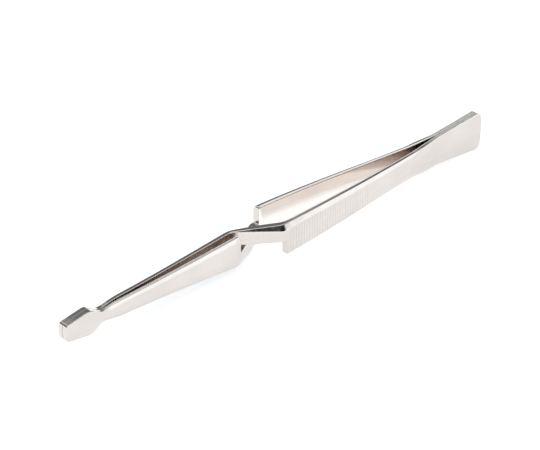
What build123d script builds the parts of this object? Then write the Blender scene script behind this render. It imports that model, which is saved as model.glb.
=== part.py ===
"""Cross-action stamp tongs.

Two legs of spring steel lie flat on each other at the tail, where they are welded. Towards the
front they part into two handles, cross over in two narrow necks, and end in jaws with flat
spades. Squeezing the handles opens the spades; released, they spring shut. The legs differ only
in their necks: the far leg is a near leg with a narrower neck, turned half a turn.

Millimetres. +X runs from the spades to the tail, the near leg's handle is at -Y, and the
tongs stand on their long edges on z = 0, so +Z is the width of the strip. Lengths along the
tongs are measured from the front of the spades and turned into X by along().
"""
from build123d import *
from math import atan2, degrees
import os

# overall
overall_length = 160.0
tail_width = 13.5

# tail: both legs flat on each other behind the root
root = 141.0
tail_thickness = 1.15
tail_corner_radius = 2.6
tail_crown = 0.35
root_bend_radius = 30.0

# handles
shoulder = 74.4
handle_gap_half = 5.0
handle_bow = 0.7
handle_thickness = 2.2
handle_width = 10.3
handle_front_slope = -0.02
handle_middle = 105.0
handle_middle_width = 9.3
waist = 130.0
waist_width = 8.5
tail_flare_slope = 0.12
handle_bevel = 0.65
long_edge = 40.0
groove_first = 75.9
groove_last = 108.4
groove_pitch = 1.08
groove_depth = 0.22
groove_mouth = 0.62

# necks: the near one is the upper part of the strip and the far one the lower part. A slit's two
# numbers are how far its edge is cut beyond the centre line, at the jaw's rear and the shoulder.
jaw_rear = 61.2
neck_lead = 0.8
near_slit = (0.5, -0.2)
far_slit = (0.5, 0.6)
shoulder_corner_radius = 0.7
jaw_corner_radius = 1.6
neck_bend_radius = 6.0

# jaws: they lie close together at the front and stand further apart at the rear
jaw_thickness = 1.85
jaw_gap_half = 1.0
jaw_width = 9.8
jaw_rear_slope = 0.077
jaw_front = 18.5
jaw_front_width = 5.2
jaw_middle = 32.0
jaw_middle_width = 6.3
throat = 12.7
throat_width = 3.6

# spades
spade_gap_half = 0.05
spade_thickness = 1.48
spade_width = 7.7
spade_shoulder = 8.5
spade_flank = 10.6
spade_flank_width = 5.4
spade_shoulder_slope = -0.3
spade_front_width = 5.0
spade_front_crown = 0.55
spade_shoulder_radius = 1.2
spade_corner_radius = 0.9

# flexure: the springy stretch of each leg bends here, so a hinge stands in for it
flexure = 136.0
flexure_slit = 0.2

# reach of the slabs that cut a leg at its flexure, well outside it
far_side = 40.0


def along(distance):
    """X of a point this far from the front of the spades."""
    return distance - overall_length / 2


def arc_point(first, last, bow, share):
    """Point of a shallow arc from first to last, bowed by this much at mid-length."""
    lift = 4 * bow * share * (1 - share)
    x = first[0] + (last[0] - first[0]) * share
    y = first[1] + (last[1] - first[1]) * share
    return (x, y - lift)


def handle_face(offset_at_root, offset_at_shoulder):
    """Root end, middle and shoulder end of one long face of the near handle."""
    rear = (along(root), -offset_at_root)
    front = (along(shoulder), -offset_at_shoulder)
    return rear, arc_point(rear, front, handle_bow, 0.5), front


def leg_plan():
    """The near leg seen from above: a strip that bends out, thickens, crosses and tapers."""
    inner_rear, inner_middle, inner_front = handle_face(0, handle_gap_half)
    outer_rear, outer_middle, outer_front = handle_face(
        tail_thickness, handle_gap_half + handle_thickness
    )
    jaw_outside = jaw_gap_half + jaw_thickness
    jaw_front_outside = spade_gap_half + jaw_thickness
    spade_outside = spade_gap_half + spade_thickness
    neck_front = along(jaw_rear - neck_lead)
    with BuildSketch() as plan:
        with BuildLine():
            Line((along(overall_length), 0), inner_rear)
            ThreePointArc(inner_rear, inner_middle, inner_front)
            Polyline(
                inner_front,
                (neck_front, jaw_outside),
                (along(jaw_front), jaw_front_outside),
                (along(throat), spade_outside),
                (along(0), spade_outside),
                (along(0), spade_gap_half),
                (along(throat), spade_gap_half),
                (neck_front, jaw_gap_half),
                outer_front,
            )
            ThreePointArc(outer_front, outer_middle, outer_rear)
            Line(outer_rear, (along(overall_length), -tail_thickness))
            Line((along(overall_length), -tail_thickness), (along(overall_length), 0))
        make_face()
        bends = [(inner_front, neck_bend_radius)]
        bends += [((neck_front, side), neck_bend_radius) for side in (jaw_outside, jaw_gap_half)]
        bends += [(corner, root_bend_radius) for corner in (inner_rear, outer_rear)]
        for corner, radius in bends:
            fillet(plan.vertices().sort_by_distance((*corner, 0))[0], radius)
    return plan.sketch


def leg_outline(slit):
    """A leg seen from the side, with its height measured from the centre line."""
    tip = (along(0), 0)
    tip_bow = (along(0) + spade_front_crown / 4, spade_front_width / 4)
    spade_corner = (along(spade_front_crown), spade_front_width / 2)
    spade_rear = (along(spade_shoulder), spade_width / 2)
    spade_side = (along(spade_flank), spade_flank_width / 2)
    throat_side = (along(throat), throat_width / 2)
    jaw_start = (along(jaw_front), jaw_front_width / 2)
    jaw_side = (along(jaw_middle), jaw_middle_width / 2)
    jaw_corner = (along(jaw_rear), jaw_width / 2)
    handle_corner = (along(shoulder), handle_width / 2)
    handle_side = (along(handle_middle), handle_middle_width / 2)
    waist_side = (along(waist), waist_width / 2)
    tail_corner = (along(overall_length - tail_crown), tail_width / 2)
    tail_bow = (along(overall_length - tail_crown / 4), tail_width / 4)
    tail_end = (along(overall_length), 0)
    slit_front, slit_rear = slit
    cut_corners = [
        (along(shoulder), slit_rear),
        (along(shoulder), -tail_width),
        (along(jaw_rear), -tail_width),
        (along(jaw_rear), slit_front),
    ]
    with BuildSketch(Plane.XZ) as outline:
        with BuildLine():
            ThreePointArc(tip, tip_bow, spade_corner)
            Line(spade_corner, spade_rear)
            Spline(spade_rear, spade_side, throat_side, tangents=[(1, spade_shoulder_slope), (1, 0)])
            jaw_ends = [(1, 0), (1, jaw_rear_slope)]
            Spline(throat_side, jaw_start, jaw_side, jaw_corner, tangents=jaw_ends)
            Line(jaw_corner, handle_corner)
            handle_ends = [(1, handle_front_slope), (1, tail_flare_slope)]
            Spline(handle_corner, handle_side, waist_side, tail_corner, tangents=handle_ends)
            ThreePointArc(tail_corner, tail_bow, tail_end)
            mirror(about=Plane.XZ)
        make_face()
        with BuildLine():
            Polyline(*cut_corners, close=True)
        make_face(mode=Mode.SUBTRACT)
        rounded = [
            ((handle_corner[0], -handle_corner[1]), shoulder_corner_radius),
            ((jaw_corner[0], -jaw_corner[1]), jaw_corner_radius),
        ]
        for side in (1, -1):
            rounded.append(((tail_corner[0], side * tail_corner[1]), tail_corner_radius))
            rounded.append(((spade_rear[0], side * spade_rear[1]), spade_shoulder_radius))
            rounded.append(((spade_corner[0], side * spade_corner[1]), spade_corner_radius))
        for corner, radius in rounded:
            fillet(outline.vertices().sort_by_distance((*corner, 0))[0], radius)
    return outline.sketch


def leg_blank(slit):
    """A leg as one strip: its plan crossed with its outline, standing on z = 0."""
    plan = extrude(leg_plan(), amount=tail_width, both=True)
    outline = extrude(leg_outline(slit), amount=tail_width, both=True)
    blank = plan & outline
    return blank.translate((0, 0, -blank.bounding_box().min.Z))


def bevelled(blank):
    """The blank with the two long outer edges of its handle bevelled."""
    long_edges = blank.edges().filter_by(lambda edge: edge.length > long_edge)
    outermost = long_edges.sort_by(Axis.Y)[:2]
    return chamfer(outermost, handle_bevel)


def outer_face_at(distance):
    """Y and slope, in degrees, of the near handle's outer face this far along."""
    share = (root - distance) / (root - shoulder)
    _, _, front = handle_face(tail_thickness, handle_gap_half + handle_thickness)
    rear = (along(root), -tail_thickness)
    x, y = arc_point(rear, front, handle_bow, share)
    rise = -(handle_gap_half + handle_thickness - tail_thickness) - 4 * handle_bow * (1 - 2 * share)
    return y, degrees(atan2(-rise, root - shoulder))


def groove_cutters():
    """One V-shaped bar across the handle's outer face for each grip groove."""
    cutters = []
    count = int((groove_last - groove_first) / groove_pitch) + 1
    for index in range(count):
        distance = groove_first + index * groove_pitch
        y, slope = outer_face_at(distance)
        half = groove_mouth / 2
        with BuildSketch() as section:
            with BuildLine():
                Polyline((-half, 0), (0, groove_depth), (half, 0), (0, -groove_depth), close=True)
            make_face()
        bar = extrude(section.sketch, amount=tail_width, both=True)
        cutters.append(bar.rotate(Axis.Z, slope).translate((along(distance), y, 0)))
    return cutters


def slice_of(leg, first, last):
    """The stretch of a leg between two distances from the front of the spades."""
    width = last - first
    slab = Box(width, 2 * far_side, 2 * far_side)
    return leg & slab.translate((along(first) + width / 2, 0, 0))


def turned_over(piece, middle):
    """A piece after half a turn about the tongs' long axis, which takes it to the far leg."""
    axis = Axis((0, 0, middle), (1, 0, 0))
    return piece.rotate(axis, 180)


def main():
    os.makedirs("parts", exist_ok=True)
    for side, slit in (("near", near_slit), ("far", far_slit)):
        blank = leg_blank(slit)
        middle = blank.bounding_box().max.Z / 2
        leg = bevelled(blank) - groove_cutters()
        pieces = {
            "tail": slice_of(leg, flexure + flexure_slit / 2, overall_length + far_side),
            "arm": slice_of(leg, -far_side, flexure - flexure_slit / 2),
        }
        for name, piece in pieces.items():
            placed = piece if side == "near" else turned_over(piece, middle)
            export_step(placed, f"parts/{side}_leg_{name}.step")


main()
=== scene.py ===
"""Looks of the cross-action stamp tongs: two nickel-plated spring-steel legs, welded at the tail.

Each leg is one continuous closed mesh. Its outline is laid out as a grid of stations along the
tongs and columns across the strip. Two sheets of that grid, the leg's +Y side and its -Y side,
are joined by walls along every free edge. The far leg has a narrower neck than the near leg and
is made in the same place, then takes half a turn about X.
Lengths in the leg's own functions are millimetres, measured from the front of the spades.
"""
from math import cos, pi, radians, sin

import bmesh
import bpy
import numpy as np
from mathutils import Matrix, Vector


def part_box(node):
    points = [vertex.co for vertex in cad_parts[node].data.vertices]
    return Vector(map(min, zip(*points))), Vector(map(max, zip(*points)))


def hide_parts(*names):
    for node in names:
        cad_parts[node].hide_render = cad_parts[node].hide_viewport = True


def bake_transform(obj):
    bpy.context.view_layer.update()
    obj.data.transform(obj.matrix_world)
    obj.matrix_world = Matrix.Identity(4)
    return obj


MM = 0.001

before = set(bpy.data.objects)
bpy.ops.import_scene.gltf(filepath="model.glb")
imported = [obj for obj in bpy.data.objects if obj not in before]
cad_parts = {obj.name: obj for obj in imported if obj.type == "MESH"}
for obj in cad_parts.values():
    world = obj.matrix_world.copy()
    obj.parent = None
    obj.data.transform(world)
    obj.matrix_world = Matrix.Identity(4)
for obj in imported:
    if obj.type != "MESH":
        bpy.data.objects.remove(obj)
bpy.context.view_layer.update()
tail_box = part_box("near_leg_tail")
arm_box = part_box("near_leg_arm")

# ---- sizes read from the CAD frame, in millimetres ----
TIP_X = arm_box[0].x / MM
LENGTH = tail_box[1].x / MM - TIP_X
MIDDLE_Z = (tail_box[0].z + tail_box[1].z) / 2 / MM
HANDLE_OUTSIDE = -arm_box[0].y / MM
HANDLE_HALF = (arm_box[1].z - arm_box[0].z) / 2 / MM
TAIL_HALF = (tail_box[1].z - tail_box[0].z) / 2 / MM

# ---- the leg's own sizes, in millimetres ----
ROOT = 141.0
SHOULDER = 74.4
GRIP_END = 118
JAW_REAR = 61.2
THROAT = 13.4
SPADE_SHOULDER = 8.7
TAIL_THICKNESS = 1.15
TAIL_SEAM_HALF = 0.01
HANDLE_THICKNESS = 2.2
HANDLE_BOW = 0.7
SPADE_THICKNESS = 1.48
JAW_THICKNESS = 1.85
JAW_GAP = 1.0
SPADE_GAP = 0.05
WAIST = 130.0
WAIST_HALF = 4.25
JAW_REAR_HALF = 4.9
THROAT_HALF = 2.5
SPADE_HALF = 3.7
SPADE_FRONT_HALF = 2.5
TAIL_CORNER = 2.6
TAIL_CROWN = 0.35
SHOULDER_CORNER = 0.7
JAW_CORNER = 1.6
TIP_CORNER = 0.65
TIP_CROWN = 0.35
# The crowns fade out over these lengths, and the tip's stops growing at this share of the half-width
TIP_CROWN_LENGTH = 4
TAIL_CROWN_LENGTH = 8
TIP_CROWN_LIMIT = 1.2
# Grid lines beside an edge, at these multiples of EDGE from it
EDGE = 0.14
EDGE_STEPS = (0, 0.02, 0.08, 0.22, 0.44, 0.76, 1.25, 1.9, 2.6)
END_EDGE = 0.12
NECK_LEAD = 0.8
OUTER_BEND_LEAD = 1.4
PLUS_BEND_REACH = 1.5
MINUS_BEND_REACH = 0.9
SPADE_BEND_REACH = 1.4
# Samples averaged to round a bend, and points laid along a handle's curve
BEND_SAMPLES = 13
HANDLE_SAMPLES = 24
# The spade thickens into the jaw between these places
THICKENING_START = THROAT - 1.5
THICKENING_END = THROAT + 5
# The faces' lines run on past both ends by this much
OVERRUN = 5
# The spade's and throat's half-width, as (place along the leg, half-width) before rounding
SPADE_OUTLINE = (
    (-2, SPADE_FRONT_HALF - 0.3),
    (SPADE_SHOULDER, SPADE_HALF + 0.2),
    (12.4, 1.5),
    (14.5, 2.05),
    (18.5, THROAT_HALF + 0.08),
    (24, THROAT_HALF + 0.4),
)
# The spade's outline passes into the jaw's over this length, from this place
SPADE_MIX_START = 15
SPADE_MIX_LENGTH = 7
JAW_FLARE_POWER = 1.4
TAIL_FLARE_POWER = 1.3
# How far each leg's slit is cut beyond its centre line, at the jaw's rear and at the shoulder
NEAR_SLIT = (0.5, -0.2)
FAR_SLIT = (0.5, 0.6)
# The grid's parting line returns to the centre line over these lengths, in front and behind
PARTING_FADE = (36, 26)

# ---- bevels, roundings and grooves, in millimetres ----
# Long edges as (place along the leg, depth into the strip's thickness, reach down its face)
OUTER_EDGE = (
    (0, 0.1, 0.1),
    (THROAT - 2, 0.12, 0.12),
    (THROAT + 4, 0.2, 0.2),
    (JAW_REAR, 0.1, 0.1),
    (JAW_REAR + 3, 0.04, 0.04),
    (SHOULDER, 0.04, 0.04),
    (SHOULDER + 8, 0.12, 0.12),
    (ROOT - 4, 0.15, 0.15),
    (ROOT + 6, 0.12, 0.12),
)
UPPER_INNER_EDGE = (
    (0, 0.015, 0.015),
    (THROAT - 3, 0.03, 0.03),
    (THROAT + 6, 0.14, 0.1),
    (JAW_REAR - 2, 0.14, 0.1),
    (SHOULDER - 3, 0.15, 0.08),
    (SHOULDER + 4, 0.65, 0.19),
    (GRIP_END, 0.42, 0.13),
    (ROOT - 8, 0.5, 0.15),
    (ROOT - 1, 0.55, 0.16),
    (ROOT + 3, 0.16, 0.1),
)
LOWER_INNER_EDGE = (
    (0, 0.015, 0.015),
    (THROAT - 3, 0.03, 0.03),
    (THROAT - 1, 0.6, 0.24),
    (THROAT + 2, 0.85, 0.32),
    (JAW_REAR, 0.9, 0.3),
    (SHOULDER, 0.75, 0.32),
    (GRIP_END, 0.65, 0.28),
    (ROOT - 8, 0.5, 0.24),
    (ROOT + 3, 0.16, 0.1),
)
# The leg's outer face is its +Y side up to the first place and its -Y side after it. The handle's
# bevels start at the second.
OUTER_FACE_SWAP = JAW_REAR + 4
BEVEL_START = JAW_REAR - 1
CHAMFER_SHARE = 0.75
BEVEL_DEPTH = 1.02
BEVEL_WIDTH = 1.9
BEVEL_END = 134.0
LOWER_BEVEL_SHARE = 0.7
BEVEL_OVERRUN = -0.4
BEVEL_SOFTNESS = 0.0016
# The bevel along the handle's outer face as (place along the leg, depth, width)
HANDLE_BEVEL = (
    (JAW_REAR, 0.16, 0.3),
    (SHOULDER - OUTER_BEND_LEAD, BEVEL_DEPTH, BEVEL_WIDTH),
    (GRIP_END, 0.72 * BEVEL_DEPTH, 0.72 * BEVEL_WIDTH),
    (BEVEL_END - 4, 0.45 * BEVEL_DEPTH, 0.5 * BEVEL_WIDTH),
    (BEVEL_END, 0, 0.5),
)
# The rolled edge of the jaw's outer face, as (place, depth) and (place, width)
JAW_CROWN_DEPTH = 0.62
JAW_CROWN_DEPTHS = (
    (THROAT - 3, 0),
    (THROAT + 2, 0.5),
    (THROAT + 20, JAW_CROWN_DEPTH),
    (JAW_REAR, JAW_CROWN_DEPTH),
    (JAW_REAR + 6, 0),
)
JAW_CROWN_WIDTHS = ((THROAT, 1.25), (THROAT + 20, 1.65))
JAW_CROWN_POWER = 1.1
GROOVE_FIRST = 75.9
GROOVE_LAST = 108.4
GROOVE_PITCH = 1.08
GROOVE_HALF = 0.36
GROOVE_DEPTH = 0.22

# ---- the grid's stations along a leg and columns across it, in millimetres ----
# Runs of stations as (first, last, step)
STATION_RUNS = (
    (0, 16, 0.25),
    (16, JAW_REAR - 4, 0.5),
    (JAW_REAR - 4, SHOULDER, 0.22),
    (GROOVE_LAST, ROOT - 5, 0.8),
    (ROOT - 5, ROOT + 4, 0.35),
    (ROOT + 4, LENGTH, 0.6),
)
GROOVE_STEPS = 9
CORNER_STEPS = 12
SAME_STATION = 0.004
# Stations this close to the shoulder or the jaw's rear count as on it
ON_STATION = 1e-9
HALF_COLUMNS = 33
# Columns across the middle stretch on each side of the parting, with the stretch's two ends
MIDDLE_COLUMNS = 4
SLOPE_COLUMNS = 14
SLOPE_START = 0.45
SLOPE_MARGIN = 0.5
COLUMN_REACH = 3.6
MIDDLE_ROOM = 0.5
WALL_RAILS = (0.05, 0.95)
# The search for the nearest edge: its reach, its number of chunks, and the distance beyond it
SEARCH_REACH = 0.6
SEARCH_CHUNKS = 400
OUT_OF_REACH = 9.0

# ---- colours, studio and camera ----
DULLER_NICKEL = (0.68, 0.62, 0.585, 1)
BRIGHTER_NICKEL = (0.735, 0.685, 0.65, 1)
WORN_NICKEL = (0.78, 0.75, 0.72, 1)
SHEARED_STEEL = (0.76, 0.74, 0.67, 1)
# The sheared look fades in over this length in front of the root, in millimetres
SHEARED_FADE = 9
SHEARED_ROUGHNESS = 0.36
FLOOR_GREY = (0.7, 0.7, 0.7, 1)
FLOOR_GLOW_COLOUR = (0.96, 0.985, 1, 1)
FLOOR_GLOW = 0.62
# Glow of the painted pool of light on the floor between the handles
HANDLE_GAP_PAINTED_GLOW = 1.14
# The surroundings as (height, grey), from the horizon at 0 to straight above at 1
FRONT_GREYS = ((0, 1), (0.2, 1), (0.25, 0.08), (0.28, 0), (0.42, 0), (0.5, 0.13), (0.7, 0.13), (0.76, 0.8))
BACK_GREYS = ((0, 1), (0.2, 1), (0.32, 0.13), (0.7, 0.13), (0.76, 0.8))
GREY_TINT = (0.93, 0.97, 1)
FRONT_TO_BACK = 0.3
STUDIO_STRENGTH = 1.5
OVERHEAD_HEIGHT = 2.0
OVERHEAD_SIZE = 3.0
OVERHEAD_POWER = 8
CAMERA_AZIMUTH = -42.9
CAMERA_ELEVATION = 31.9
CAMERA_DISTANCE = 0.651
CAMERA_AIM = (-3.74, 2.15, MIDDLE_Z)
LENS = 154.2
SENSOR_WIDTH = 36


# ---------------------------------------------------------------- the leg's shape
def rounded_line(points, reach):
    """A function that follows straight runs between the points and rounds each bend over reach."""
    xs, ys = zip(*sorted(points))
    offsets = np.linspace(-reach, reach, BEND_SAMPLES)

    def line(x):
        x = np.asarray(x, float)
        return np.mean([np.interp(x + offset, xs, ys) for offset in offsets], axis=0)

    return line


def handle_share(u):
    """0 at the root and 1 at the shoulder."""
    return np.clip((ROOT - u) / (ROOT - SHOULDER), 0, 1)


def handle_offset(u, at_root, at_shoulder):
    """Distance of one long face of the handle from the tongs' middle plane."""
    share = handle_share(u)
    return at_root + (at_shoulder - at_root) * share + 4 * HANDLE_BOW * share * (1 - share)


def handle_points(at_root, at_shoulder, lead=0):
    """Closely spaced points of a handle face, a shallow curve that starts lead before the shoulder."""
    places = np.linspace(SHOULDER - lead, ROOT, HANDLE_SAMPLES)
    return [(u, -handle_offset(u, at_root, at_shoulder)) for u in places]


jaw_bend = JAW_REAR - NECK_LEAD
plus_side = rounded_line(
    [(-OVERRUN, SPADE_GAP + SPADE_THICKNESS), (THICKENING_START, SPADE_GAP + SPADE_THICKNESS)]
    + [(THICKENING_END, SPADE_GAP + JAW_THICKNESS), (jaw_bend, JAW_GAP + JAW_THICKNESS)]
    + handle_points(TAIL_SEAM_HALF, HANDLE_OUTSIDE - HANDLE_THICKNESS)
    + [(LENGTH + OVERRUN, -TAIL_SEAM_HALF)],
    PLUS_BEND_REACH,
)
minus_side = rounded_line(
    [(-OVERRUN, SPADE_GAP), (THROAT, SPADE_GAP), (jaw_bend, JAW_GAP)]
    + handle_points(TAIL_THICKNESS, HANDLE_OUTSIDE, OUTER_BEND_LEAD)
    + [(LENGTH + OVERRUN, -TAIL_THICKNESS)],
    MINUS_BEND_REACH,
)
spade_half_width = rounded_line(SPADE_OUTLINE, SPADE_BEND_REACH)


def full_half_width(u):
    """Half the strip's width before its corners are rounded."""
    u = np.asarray(u, float)
    jaw_share = np.clip((u - THROAT) / (JAW_REAR - THROAT), 0, 1)
    jaw = THROAT_HALF + (JAW_REAR_HALF - THROAT_HALF) * jaw_share**JAW_FLARE_POWER
    spade_mix = np.clip((u - SPADE_MIX_START) / SPADE_MIX_LENGTH, 0, 1)
    front = spade_half_width(u) * (1 - spade_mix) + jaw * spade_mix
    neck_share = np.clip((u - JAW_REAR) / (SHOULDER - JAW_REAR), 0, 1)
    neck = JAW_REAR_HALF + (HANDLE_HALF - JAW_REAR_HALF) * neck_share
    turn = np.clip((u - SHOULDER) / (WAIST - SHOULDER), 0, 1) * pi
    handle = WAIST_HALF + (HANDLE_HALF - WAIST_HALF) * (1 + np.cos(turn)) / 2
    flare_share = np.clip((u - WAIST) / (LENGTH - WAIST), 0, 1)
    flare = (TAIL_HALF - WAIST_HALF) * flare_share**TAIL_FLARE_POWER
    rear = np.where(u > WAIST, WAIST_HALF + flare, handle)
    return np.where(u < JAW_REAR, front, np.where(u < SHOULDER, neck, rear))


def corner_loss(into_corner, radius):
    """How far a round corner of this radius stands in from its square one."""
    reach = np.clip(radius - into_corner, 0, radius)
    return radius - np.sqrt(radius**2 - reach**2)


def upper_edge(u):
    """Height of the strip's upper edge above its centre line."""
    loss = corner_loss(u, TIP_CORNER) + corner_loss(LENGTH - u, TAIL_CORNER)
    return full_half_width(u) - loss


def lower_edge(u, station_is_handle):
    """Height of the lower edge, which also has the shoulder's and the jaw's rear corners."""
    edge = -upper_edge(u)
    shoulder_loss = corner_loss(np.abs(u - SHOULDER), SHOULDER_CORNER)
    jaw_loss = corner_loss(np.abs(JAW_REAR - u), JAW_CORNER)
    return edge + np.where(station_is_handle, shoulder_loss, jaw_loss)


def parting(u, slit):
    """Height at which the strip is slit to free its neck."""
    places = [JAW_REAR - PARTING_FADE[0], JAW_REAR, SHOULDER, SHOULDER + PARTING_FADE[1]]
    return np.interp(u, places, [0, *slit, 0])


# ---------------------------------------------------------------- the leg's grid
def spread(first, last, step):
    """Evenly spaced values from first to last, about one step apart."""
    return np.linspace(first, last, max(2, int(round((last - first) / step)) + 1))


def corner_stations(at, direction, radius):
    """Stations that draw a round corner, closer together towards its end."""
    return [at + direction * radius * (1 - cos(angle)) for angle in np.linspace(0, pi / 2, CORNER_STEPS)]


def edge_stations(at, direction):
    """Stations that draw the small rounding of an end face."""
    return [at + direction * EDGE * step for step in EDGE_STEPS]


def groove_centres():
    """The middle of every grip groove."""
    count = int((GROOVE_LAST - GROOVE_FIRST) / GROOVE_PITCH) + 1
    return [GROOVE_FIRST + index * GROOVE_PITCH for index in range(count)]


def stations():
    """Every station along the leg, from the spade's front to the tail's end."""
    marks = [spread(first, last, step) for first, last, step in STATION_RUNS]
    for centre in groove_centres():
        marks.append(centre + GROOVE_HALF * np.linspace(-1, 1, GROOVE_STEPS))
        marks.append([centre + GROOVE_PITCH / 2])
    marks += [edge_stations(0, 1), corner_stations(0, 1, TIP_CORNER)]
    marks += [edge_stations(LENGTH, -1), corner_stations(LENGTH, -1, TAIL_CORNER)]
    marks += [edge_stations(SHOULDER, 1), corner_stations(SHOULDER, 1, SHOULDER_CORNER)]
    marks += [edge_stations(JAW_REAR, -1), corner_stations(JAW_REAR, -1, JAW_CORNER)]
    marks += [edge_stations(SHOULDER, -1), edge_stations(JAW_REAR, 1)]
    every = np.sort(np.concatenate([np.asarray(mark, float) for mark in marks]))
    every = every[(every >= 0) & (every <= LENGTH)]
    fixed = [0, JAW_REAR, SHOULDER, LENGTH]
    kept = []
    for u in every:
        near_fixed = [place for place in fixed if abs(u - place) < SAME_STATION]
        u = near_fixed[0] if near_fixed else u
        if not kept or u - kept[-1] > SAME_STATION:
            kept.append(u)
    return np.array(kept)


def column_offsets(room, bevel):
    """Distances in from the strip's edge of one half's columns, given the room to the parting."""
    fine = [EDGE * step for step in EDGE_STEPS]
    slope = list(np.linspace(SLOPE_START, bevel + SLOPE_MARGIN, SLOPE_COLUMNS))
    far_columns = HALF_COLUMNS - len(fine) - len(slope) - MIDDLE_COLUMNS
    far = list(np.linspace(bevel + SLOPE_MARGIN, COLUMN_REACH, far_columns)[1:])
    offsets = np.array(fine + slope + far)
    return offsets * min(1.0, (room - MIDDLE_ROOM) / COLUMN_REACH)


def leg_grid(slit):
    """(u, z) of every grid point of a leg, its cells, and which cells exist."""
    us = stations()
    parting_steps = EDGE * np.array(EDGE_STEPS)
    rows = []
    for u in us:
        is_handle = u >= SHOULDER - ON_STATION
        high, split = float(upper_edge(u)), float(parting(u, slit))
        low = float(lower_edge(u, is_handle))
        upper = high - column_offsets(high - split, BEVEL_WIDTH)
        lower = low + column_offsets(split - low, BEVEL_WIDTH)
        middle_low = np.linspace(lower[-1], split, MIDDLE_COLUMNS)[1:]
        middle_high = np.linspace(split + parting_steps[-1], upper[-1], MIDDLE_COLUMNS)[:-1]
        above_split = split + parting_steps[1:-1]
        rows.append(np.concatenate([lower, middle_low, above_split, middle_high, upper[::-1]]))
    z = np.array(rows)
    split_column = len(lower) + len(middle_low) - 1
    columns = z.shape[1]
    u = np.repeat(us[:, None], columns, 1)
    exists = np.ones((len(us) - 1, columns - 1), bool)
    in_neck = (us[:-1] >= JAW_REAR - ON_STATION) & (us[1:] <= SHOULDER + ON_STATION)
    exists[in_neck, :split_column] = False
    return crowned_ends(u, z), z, exists


def crowned_ends(u, z):
    """Stations near both ends bow out in the middle, so that the ends are gently convex."""
    tip_fade = np.clip(1 - u / TIP_CROWN_LENGTH, 0, 1) ** 2
    tail_fade = np.clip((u - LENGTH + TAIL_CROWN_LENGTH) / TAIL_CROWN_LENGTH, 0, 1) ** 2
    across = np.clip(np.abs(z) / SPADE_FRONT_HALF, 0, TIP_CROWN_LIMIT)
    tip = TIP_CROWN * across**2 * tip_fade
    tail = TAIL_CROWN * (z / TAIL_HALF) ** 2 * tail_fade
    return u + tip - tail


def free_edges(exists):
    """Grid edges that bound exactly one existing cell, as pairs of (station, column)."""
    count = {}
    for i, j in zip(*np.nonzero(exists)):
        loop = [(i, j), (i + 1, j), (i + 1, j + 1), (i, j + 1)]
        for a, b in zip(loop, loop[1:] + loop[:1]):
            key = (min(a, b), max(a, b))
            count[key] = None if key in count else (a, b)
    return [edge for edge in count.values() if edge is not None]


def edge_distance(u, z, exists, edges):
    """Distance of every grid point from the leg's outline, exact near it."""
    a = np.array([(u[p], z[p]) for p, _ in edges])
    b = np.array([(u[q], z[q]) for _, q in edges])
    run = b - a
    length2 = (run**2).sum(1)
    points = np.stack([u.ravel(), z.ravel()], 1)
    best = np.full(len(points), OUT_OF_REACH)
    order = np.argsort(points[:, 0])
    for chunk in np.array_split(order, SEARCH_CHUNKS):
        low = points[chunk, 0].min() - SEARCH_REACH
        high = points[chunk, 0].max() + SEARCH_REACH
        near = (np.maximum(a[:, 0], b[:, 0]) > low) & (np.minimum(a[:, 0], b[:, 0]) < high)
        if not near.any():
            continue
        to_point = points[chunk][:, None, :] - a[near][None]
        share = np.clip((to_point * run[near]).sum(2) / length2[near], 0, 1)
        gap = to_point - share[:, :, None] * run[near]
        best[chunk] = np.sqrt((gap**2).sum(2)).min(1)
    return best.reshape(u.shape)


def edge_rounding(u, distance, sizes):
    """Inset of a face close to its edge: a chamfer that rounds over at the top."""
    places, depths, reaches = zip(*sizes)
    depth = np.interp(u, places, depths)
    reach = np.interp(u, places, reaches)
    share = np.clip(1 - distance / reach, 0, 1)
    rounding = 1 - np.sqrt(1 - share**2)
    return depth * (CHAMFER_SHARE * share + (1 - CHAMFER_SHARE) * rounding)


def handle_bevel(u, from_edge, share):
    """Inset of one bevel along the handle's outer face. It fades out on the neck and the tail."""
    places, depths, widths = zip(*HANDLE_BEVEL)
    depth = np.interp(u, places, depths)
    width = np.interp(u, places, widths)
    x = np.clip(1 - from_edge / (share * width), BEVEL_OVERRUN, 1)
    return share * depth * (x + np.sqrt(x**2 + BEVEL_SOFTNESS)) / 2


def jaw_crown(u, from_edge):
    """Inset of the jaw's outer face, which rolls off towards both long edges."""
    depth = np.interp(u, *zip(*JAW_CROWN_DEPTHS))
    width = np.interp(u, *zip(*JAW_CROWN_WIDTHS))
    return depth * np.clip(1 - from_edge / width, 0, 1) ** JAW_CROWN_POWER


def groove_inset(u):
    """Depth of the grip grooves below the handle's outer face."""
    inset = np.zeros_like(u)
    for centre in groove_centres():
        reach = np.clip(np.abs(u - centre) / GROOVE_HALF, 0, 1)
        inset = np.maximum(inset, GROOVE_DEPTH * (1 + np.cos(pi * reach)) / 2)
    return inset


def deeper(a, b, softness=0.02):
    """The larger of two insets, with the line where they cross slightly rounded."""
    return (a + b + np.sqrt((a - b) ** 2 + softness**2) - softness) / 2


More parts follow.
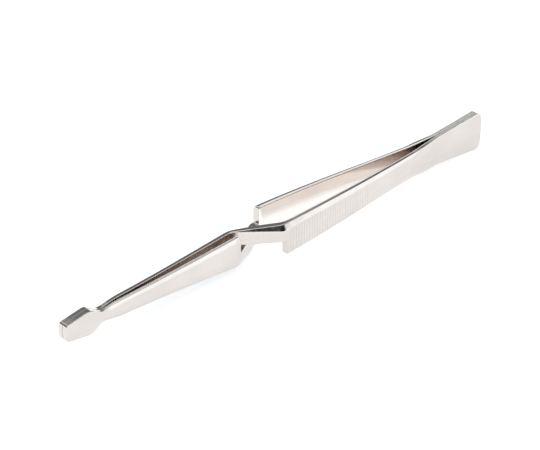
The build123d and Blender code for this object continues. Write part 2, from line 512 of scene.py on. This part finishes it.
def leg_sheets(u, z, exists, edges, slit):
    """Y of the leg's +Y side and -Y side at every grid point."""
    distance = edge_distance(u, z, exists, edges)
    from_top = np.clip(upper_edge(np.clip(u, 0, LENGTH)) - z, 0, None)
    from_bottom = np.clip(z + upper_edge(np.clip(u, 0, LENGTH)), 0, None)
    from_long_edge = np.minimum(from_top, from_bottom)
    is_jaw = u < OUTER_FACE_SWAP
    end_rounding = END_EDGE - np.sqrt(END_EDGE**2 - np.clip(END_EDGE - distance, 0, END_EDGE) ** 2)
    end_rounding = np.where((u < THROAT) | (u > ROOT), 0, end_rounding)
    outer = np.maximum(edge_rounding(u, from_long_edge, OUTER_EDGE), end_rounding)
    upper_inner = edge_rounding(u, from_top, UPPER_INNER_EDGE)
    lower_inner = edge_rounding(u, from_bottom, LOWER_INNER_EDGE)
    inner = np.maximum(np.where(z > parting(u, slit), upper_inner, lower_inner), end_rounding)
    bevels = np.maximum(handle_bevel(u, from_top, 1), handle_bevel(u, from_bottom, LOWER_BEVEL_SHARE))
    outer_inset = deeper(bevels, groove_inset(u))
    outer_inset = np.where(u > BEVEL_START, outer_inset, 0)
    plus = plus_side(u) - jaw_crown(u, from_long_edge) - np.where(is_jaw, outer, inner)
    minus = minus_side(u) + outer_inset + np.where(is_jaw, inner, outer)
    return plus, minus


def leg_mesh(name, slit):
    """A leg as one closed mesh, in metres, where the near leg is."""
    u, z, exists = leg_grid(slit)
    edges = free_edges(exists)
    plus, minus = leg_sheets(u, z, exists, edges, slit)
    used = np.zeros(u.shape, bool)
    used[:-1, :-1] |= exists
    used[1:, :-1] |= exists
    used[:-1, 1:] |= exists
    used[1:, 1:] |= exists
    mesh = bmesh.new()
    sheets = {}
    for side, y in (("plus", plus), ("minus", minus)):
        for i, j in zip(*np.nonzero(used)):
            place = ((u[i, j] + TIP_X) * MM, y[i, j] * MM, (z[i, j] + MIDDLE_Z) * MM)
            sheets[side, i, j] = mesh.verts.new(place)
    for i, j in zip(*np.nonzero(exists)):
        loop = [(i, j), (i + 1, j), (i + 1, j + 1), (i, j + 1)]
        mesh.faces.new([sheets["minus", a, b] for a, b in loop])
        mesh.faces.new([sheets["plus", a, b] for a, b in reversed(loop)])
    add_walls(mesh, sheets, edges)
    bmesh.ops.recalc_face_normals(mesh, faces=mesh.faces)
    data = bpy.data.meshes.new(name)
    mesh.to_mesh(data)
    mesh.free()
    data.shade_smooth()
    return data


def add_walls(mesh, sheets, edges):
    """Walls between the two sheets along every free edge, in three rows."""
    rails = {}
    for edge in edges:
        for point in edge:
            if point not in rails:
                low, high = sheets[("minus", *point)], sheets[("plus", *point)]
                inner = [mesh.verts.new(low.co.lerp(high.co, share)) for share in WALL_RAILS]
                rails[point] = [low, *inner, high]
    for a, b in edges:
        for row in range(len(WALL_RAILS) + 1):
            mesh.faces.new([rails[a][row], rails[a][row + 1], rails[b][row + 1], rails[b][row]])


def build_legs():
    """Both legs as objects. Each stands for its CAD tail and arm, and bends at the flexure."""
    near = bpy.data.objects.new("near_leg", leg_mesh("near_leg", NEAR_SLIT))
    far_data = leg_mesh("far_leg", FAR_SLIT)
    axis_point = Vector((0, 0, MIDDLE_Z * MM))
    turn = Matrix.Translation(axis_point) @ Matrix.Rotation(pi, 4, "X") @ Matrix.Translation(-axis_point)
    far_data.transform(turn)
    far = bpy.data.objects.new("far_leg", far_data)
    for leg, side in ((near, "near"), (far, "far")):
        bpy.context.scene.collection.objects.link(leg)
        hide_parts(f"{side}_leg_tail", f"{side}_leg_arm")
        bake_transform(leg)
    return [near, far]


# ---------------------------------------------------------------- materials
def node(tree, kind, **values):
    """A shader node with its properties, and with its input sockets where a name matches one."""
    made = tree.nodes.new(kind)
    for name, value in values.items():
        if name in made.inputs:
            made.inputs[name].default_value = value
        else:
            setattr(made, name, value)
    return made


def nickel_plate():
    """Polished nickel plate: lengthwise polishing lines, faint waviness, worn and brighter edges."""
    material = bpy.data.materials.new("nickel_plate")
    material.use_nodes = True
    tree = material.node_tree
    link = tree.links.new
    shader = tree.nodes["Principled BSDF"]
    shader.inputs["Metallic"].default_value = 1.0
    place = node(tree, "ShaderNodeTexCoord")

    def noise(scale, detail, stretch=(1, 1, 1)):
        mapping = node(tree, "ShaderNodeMapping")
        mapping.inputs["Scale"].default_value = stretch
        link(place.outputs["Object"], mapping.inputs["Vector"])
        texture = node(tree, "ShaderNodeTexNoise", Scale=scale, Detail=detail)
        link(mapping.outputs["Vector"], texture.inputs["Vector"])
        return texture.outputs["Fac"]

    def remap(value, low, high, to_low, to_high):
        made = node(tree, "ShaderNodeMapRange")
        made.inputs["From Min"].default_value = low
        made.inputs["From Max"].default_value = high
        made.inputs["To Min"].default_value = to_low
        made.inputs["To Max"].default_value = to_high
        link(value, made.inputs["Value"])
        return made.outputs["Result"]

    def combine(operation, a, b):
        made = node(tree, "ShaderNodeMath", operation=operation)
        for socket, value in zip(made.inputs, (a, b)):
            if isinstance(value, (int, float)):
                socket.default_value = value
            else:
                link(value, socket)
        return made.outputs["Value"]

    lines = noise(5200, 3, stretch=(0.02, 1, 1))
    streaks = noise(1500, 3, stretch=(0.03, 1, 1))
    smudges = noise(210, 4)
    blotches = noise(90, 2)
    waviness = noise(160, 1, stretch=(0.6, 1, 1))
    grain = noise(9000, 2)

    roughness = remap(lines, 0.3, 0.7, 0.05, 0.11)
    roughness = combine("ADD", roughness, remap(smudges, 0.35, 0.7, -0.015, 0.05))
    roughness = combine("ADD", roughness, remap(streaks, 0.45, 0.75, 0, 0.04))

    tint = node(tree, "ShaderNodeMix", data_type="RGBA")
    tint.inputs["A"].default_value = DULLER_NICKEL
    tint.inputs["B"].default_value = BRIGHTER_NICKEL
    shade = combine("ADD", remap(blotches, 0.35, 0.65, 0, 0.6), remap(streaks, 0.3, 0.7, 0, 0.4))
    link(shade, tint.inputs["Factor"])
    geometry = node(tree, "ShaderNodeNewGeometry")
    worn = node(tree, "ShaderNodeMix", data_type="RGBA")
    worn.inputs["B"].default_value = WORN_NICKEL
    link(tint.outputs["Result"], worn.inputs["A"])
    link(remap(geometry.outputs["Pointiness"], 0.52, 0.6, 0, 0.8), worn.inputs["Factor"])

    # The tail's sheared edges are unpolished, so they are rougher than the rest.
    facing = node(tree, "ShaderNodeSeparateXYZ")
    link(geometry.outputs["Normal"], facing.inputs["Vector"])
    upright = combine("ABSOLUTE", facing.outputs["Z"], 0)
    along = node(tree, "ShaderNodeSeparateXYZ")
    link(place.outputs["Object"], along.inputs["Vector"])
    tail_x = (ROOT + TIP_X) * MM
    on_edge = remap(upright, 0.8, 0.95, 0, 1)
    on_tail = remap(along.outputs["X"], tail_x - SHEARED_FADE * MM, tail_x, 0, 1)
    sheared = combine("MULTIPLY", on_edge, on_tail)
    steel = node(tree, "ShaderNodeMix", data_type="RGBA")
    steel.inputs["B"].default_value = SHEARED_STEEL
    link(worn.outputs["Result"], steel.inputs["A"])
    link(sheared, steel.inputs["Factor"])
    link(steel.outputs["Result"], shader.inputs["Base Color"])
    roughness = combine("ADD", roughness, combine("MULTIPLY", sheared, SHEARED_ROUGHNESS))
    link(roughness, shader.inputs["Roughness"])

    # Relief of each pattern, in metres
    height = combine("MULTIPLY", lines, 1.2e-6)
    for pattern, relief in ((streaks, 2.5e-6), (waviness, 16e-6), (grain, 0.6e-6)):
        height = combine("ADD", height, combine("MULTIPLY", pattern, relief))
    bump = node(tree, "ShaderNodeBump", Strength=1.0, Distance=1.0)
    link(height, bump.inputs["Height"])
    link(bump.outputs["Normal"], shader.inputs["Normal"])
    return material


# ---------------------------------------------------------------- studio
def floor_material():
    """Pale, matt paper that glows evenly, with a painted pool of light: a patch between the handles that
    glows more strongly.
    """
    material = bpy.data.materials.new("pale_paper_with_painted_glow")
    material.use_nodes = True
    shader = material.node_tree.nodes["Principled BSDF"]
    shader.inputs["Base Color"].default_value = FLOOR_GREY
    shader.inputs["Roughness"].default_value = 0.9
    shader.inputs["Specular IOR Level"].default_value = 0.1
    shader.inputs["Emission Color"].default_value = FLOOR_GLOW_COLOUR
    tree = material.node_tree
    place = node(tree, "ShaderNodeTexCoord")
    split = node(tree, "ShaderNodeSeparateXYZ")
    tree.links.new(place.outputs["Object"], split.inputs["Vector"])
    shares = []
    front_x = (SHOULDER + TIP_X) * MM
    root_x = (ROOT + TIP_X) * MM
    side_y = HANDLE_OUTSIDE * MM
    # The four sides of the painted pool of light, each as (axis, where the extra glow starts, where it is
    # full)
    runs = [("X", front_x - 2 * MM, front_x + 8 * MM), ("X", root_x, root_x - 20 * MM)]
    runs += [("Y", -side_y, -side_y / 3), ("Y", side_y + MM, side_y - MM)]
    for axis, start, end in runs:
        share = node(tree, "ShaderNodeMapRange", interpolation_type="SMOOTHSTEP")
        share.inputs["From Min"].default_value = start
        share.inputs["From Max"].default_value = end
        tree.links.new(split.outputs[axis], share.inputs["Value"])
        shares.append(share.outputs["Result"])
    painted_pool_share = shares[0]
    for share in shares[1:]:
        both = node(tree, "ShaderNodeMath", operation="MULTIPLY")
        tree.links.new(painted_pool_share, both.inputs[0])
        tree.links.new(share, both.inputs[1])
        painted_pool_share = both.outputs["Value"]
    # Even glow everywhere, raised to a painted pool of light between the handles
    glow = node(tree, "ShaderNodeMapRange")
    glow.inputs["To Min"].default_value = FLOOR_GLOW
    glow.inputs["To Max"].default_value = HANDLE_GAP_PAINTED_GLOW
    tree.links.new(painted_pool_share, glow.inputs["Value"])
    tree.links.new(glow.outputs["Result"], shader.inputs["Emission Strength"])
    return material


def build_floor():
    """A plain floor far wider than the view."""
    mesh = bmesh.new()
    bmesh.ops.create_grid(mesh, x_segments=1, y_segments=1, size=4.0)
    data = bpy.data.meshes.new("floor")
    mesh.to_mesh(data)
    mesh.free()
    data.materials.append(floor_material())
    floor = bpy.data.objects.new("floor", data)
    bpy.context.scene.collection.objects.link(floor)


def grey_ramp(tree, steps):
    """A colour ramp through grey levels, very slightly cool."""
    ramp = tree.nodes.new("ShaderNodeValToRGB")
    ramp.color_ramp.elements[0].position = steps[0][0]
    ramp.color_ramp.elements[1].position = steps[-1][0]
    for position, _ in steps[1:-1]:
        ramp.color_ramp.elements.new(position)
    for element, (_, grey) in zip(ramp.color_ramp.elements, steps):
        element.color = (*(grey * share for share in GREY_TINT), 1)
    return ramp


def build_world():
    """A studio, white at the horizon, pale overhead and dim between, with a black band in front."""
    world = bpy.data.worlds.new("studio")
    bpy.context.scene.world = world
    world.use_nodes = True
    tree = world.node_tree
    background = tree.nodes["Background"]
    background.inputs["Strength"].default_value = STUDIO_STRENGTH
    place = tree.nodes.new("ShaderNodeTexCoord")
    split = tree.nodes.new("ShaderNodeSeparateXYZ")
    tree.links.new(place.outputs["Generated"], split.inputs["Vector"])
    front = grey_ramp(tree, FRONT_GREYS)
    back = grey_ramp(tree, BACK_GREYS)
    side = node(tree, "ShaderNodeMapRange", interpolation_type="SMOOTHSTEP")
    side.inputs["From Min"].default_value = -FRONT_TO_BACK
    side.inputs["From Max"].default_value = FRONT_TO_BACK
    blend = node(tree, "ShaderNodeMix", data_type="RGBA")
    tree.links.new(split.outputs["Z"], front.inputs["Fac"])
    tree.links.new(split.outputs["Z"], back.inputs["Fac"])
    tree.links.new(split.outputs["Y"], side.inputs["Value"])
    tree.links.new(side.outputs["Result"], blend.inputs["Factor"])
    tree.links.new(front.outputs["Color"], blend.inputs["A"])
    tree.links.new(back.outputs["Color"], blend.inputs["B"])
    tree.links.new(blend.outputs["Result"], background.inputs["Color"])


def add_area_light(name, place, target, size, power):
    """A soft rectangular light aimed at a point."""
    light = bpy.data.lights.new(name, "AREA")
    light.shape = "RECTANGLE"
    light.size, light.size_y = size
    light.energy = power
    lamp = bpy.data.objects.new(name, light)
    lamp.location = place
    lamp.rotation_euler = (Vector(target) - Vector(place)).to_track_quat("-Z", "Y").to_euler()
    lamp.visible_glossy = False
    bpy.context.scene.collection.objects.link(lamp)


def build_camera():
    """A long lens, aimed near the middle of the tongs."""
    azimuth = radians(CAMERA_AZIMUTH)
    elevation = radians(CAMERA_ELEVATION)
    back = Vector((sin(azimuth) * cos(elevation), -cos(azimuth) * cos(elevation), sin(elevation)))
    aim = Vector(CAMERA_AIM) * MM
    camera_data = bpy.data.cameras.new("camera")
    camera_data.sensor_width = SENSOR_WIDTH
    camera_data.lens = LENS
    camera_data.clip_start = 0.01
    camera = bpy.data.objects.new("camera", camera_data)
    camera.location = aim + back * CAMERA_DISTANCE
    camera.rotation_euler = back.to_track_quat("Z", "Y").to_euler()
    bpy.context.scene.collection.objects.link(camera)
    bpy.context.scene.camera = camera


legs = build_legs()
plate = nickel_plate()
for leg in legs:
    leg.data.materials.append(plate)
build_floor()
build_world()
overhead = (0, 0, OVERHEAD_HEIGHT)
add_area_light("overhead_light", overhead, (0, 0, 0), (OVERHEAD_SIZE, OVERHEAD_SIZE), OVERHEAD_POWER)
build_camera()
bpy.context.scene.view_settings.view_transform = "Standard"
bpy.context.scene.cycles.glossy_bounces = 6
